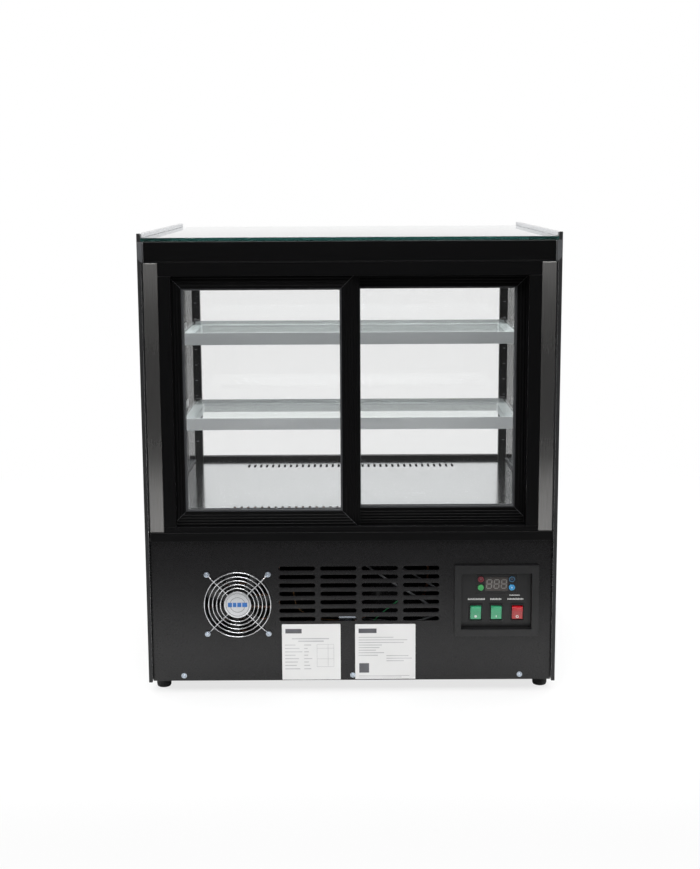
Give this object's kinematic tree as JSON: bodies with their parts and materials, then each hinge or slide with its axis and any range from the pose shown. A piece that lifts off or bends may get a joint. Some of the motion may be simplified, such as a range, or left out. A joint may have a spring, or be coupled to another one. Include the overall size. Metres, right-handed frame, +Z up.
{
  "type": "countertop bakery display case",
  "caption": "Countertop refrigerated glass display case with sliding service doors, glass shelves, a slotted steel deck and a fan-cooled base with a control panel.",
  "frame": {"origin": "on the floor under the middle of the case", "axes": "+Z up, -Y towards the service side with the sliding doors, +X to the right as seen from that side"},
  "size_m": [0.7, 0.62, 0.79],
  "materials": {
    "black_steel": "satin black powder coat",
    "black_profile": "satin black anodised profile",
    "post_steel": "brushed lengthwise",
    "deck_steel": "fine brushed, soft reflections",
    "shelf_steel": "satin",
    "guard_chrome": "bright",
    "coil_aluminium": "mill finish fins",
    "side_glass": "clear with a black enamelled border",
    "clear_glass": "clear, polished edges",
    "top_glass": "clear, deep green edge",
    "well_liner": "dark grey liner round foam",
    "foot_rubber": "matt",
    "fan_plastic": "moulded",
    "panel_plastic": "fine texture",
    "compressor_paint": "gloss black",
    "lamp_diffuser": "frosted diffuser",
    "display_lens": "smoked lens",
    "green_rocker": "translucent green",
    "red_rocker": "translucent red",
    "dark_red_button": "satin",
    "green_button": "satin",
    "navy_button": "satin",
    "blue_button": "satin"
  },
  "bodies": {
    "case": {"base_chassis": "black_steel", "rear_service_panel": "black_steel", "front_lower_panel": "black_steel", "header_bar": "black_profile", "sill_trim": "black_profile", "top_track": "black_profile", "bottom_track": "black_profile", "jamb_left": "black_profile", "jamb_right": "black_profile", "front_corner_post_left": "black_profile", "front_corner_post_right": "black_profile", "front_sill": "black_profile", "rear_post_left": "post_steel", "rear_post_right": "post_steel", "deck_tray": "deck_steel", "upper_shelf_frame": "shelf_steel", "lower_shelf_frame": "shelf_steel", "condenser_fan_guard": "guard_chrome", "evaporator_coil": "coil_aluminium", "condenser_coil": "coil_aluminium", "side_glass_left": "side_glass", "side_glass_right": "side_glass", "side_inner_pane_left": "clear_glass", "side_inner_pane_right": "clear_glass", "front_glass": "clear_glass", "upper_shelf_glass": "clear_glass", "lower_shelf_glass": "clear_glass", "top_glass": "top_glass", "insulated_well": "well_liner", "foot_rear_left": "foot_rubber", "foot_rear_right": "foot_rubber", "foot_front_left": "foot_rubber", "foot_front_right": "foot_rubber", "condenser_fan_frame": "fan_plastic", "evaporator_fan_frame": "fan_plastic", "control_frame": "panel_plastic", "control_plate": "panel_plastic", "cable_gland": "panel_plastic", "compressor": "compressor_paint", "light_bar": "lamp_diffuser", "temperature_controller": "display_lens"},
    "door_left": {"door_left_stile_left": "black_profile", "door_left_stile_right": "black_profile", "door_left_rail_bottom": "black_profile", "door_left_rail_top": "black_profile", "door_left_pane": "clear_glass"},
    "door_right": {"door_right_stile_left": "black_profile", "door_right_stile_right": "black_profile", "door_right_rail_bottom": "black_profile", "door_right_rail_top": "black_profile", "door_right_pane": "clear_glass"},
    "condenser_rotor": {"condenser_fan_rotor": "fan_plastic"},
    "evaporator_rotor": {"evaporator_fan_rotor": "fan_plastic"},
    "light_switch": {"light_rocker": "green_rocker"},
    "fan_switch": {"fan_rocker": "green_rocker"},
    "power_switch": {"power_rocker": "red_rocker"},
    "up_key": {"button_up": "dark_red_button"},
    "set_key": {"button_set": "green_button"},
    "down_key": {"button_down": "navy_button"},
    "power_key": {"button_power": "blue_button"}
  },
  "joints": [
    {"name": "door_left_slide", "type": "slide", "parent": "case", "child": "door_left", "axis": [1, 0, 0], "range_m": [0, 0.292]},
    {"name": "door_right_slide", "type": "slide", "parent": "case", "child": "door_right", "axis": [-1, 0, 0], "range_m": [0, 0.292]},
    {"name": "condenser_fan_spin", "type": "hinge", "parent": "case", "child": "condenser_rotor", "pos_m": [-0.195, -0.285, 0.159], "axis": [0, 1, 0], "continuous": true},
    {"name": "evaporator_fan_spin", "type": "hinge", "parent": "case", "child": "evaporator_rotor", "pos_m": [0, -0.12, 0.265], "axis": [0, 0, 1], "continuous": true},
    {"name": "light_switch_rock", "type": "hinge", "parent": "case", "child": "light_switch", "pos_m": [0.2138, -0.293, 0.1396], "axis": [1, 0, 0], "range_deg": [-20, 0]},
    {"name": "fan_switch_rock", "type": "hinge", "parent": "case", "child": "fan_switch", "pos_m": [0.2493, -0.293, 0.1396], "axis": [1, 0, 0], "range_deg": [-20, 0]},
    {"name": "power_switch_rock", "type": "hinge", "parent": "case", "child": "power_switch", "pos_m": [0.2856, -0.293, 0.1396], "axis": [1, 0, 0], "range_deg": [-20, 0]},
    {"name": "up_key_press", "type": "slide", "parent": "case", "child": "up_key", "axis": [0, 1, 0], "range_m": [0, 0.0008], "stiffness_N_per_m": 500, "springref_m": -0.0006},
    {"name": "set_key_press", "type": "slide", "parent": "case", "child": "set_key", "axis": [0, 1, 0], "range_m": [0, 0.0008], "stiffness_N_per_m": 500, "springref_m": -0.0006},
    {"name": "down_key_press", "type": "slide", "parent": "case", "child": "down_key", "axis": [0, 1, 0], "range_m": [0, 0.0008], "stiffness_N_per_m": 500, "springref_m": -0.0006},
    {"name": "power_key_press", "type": "slide", "parent": "case", "child": "power_key", "axis": [0, 1, 0], "range_m": [0, 0.0008], "stiffness_N_per_m": 500, "springref_m": -0.0006}
  ]
}
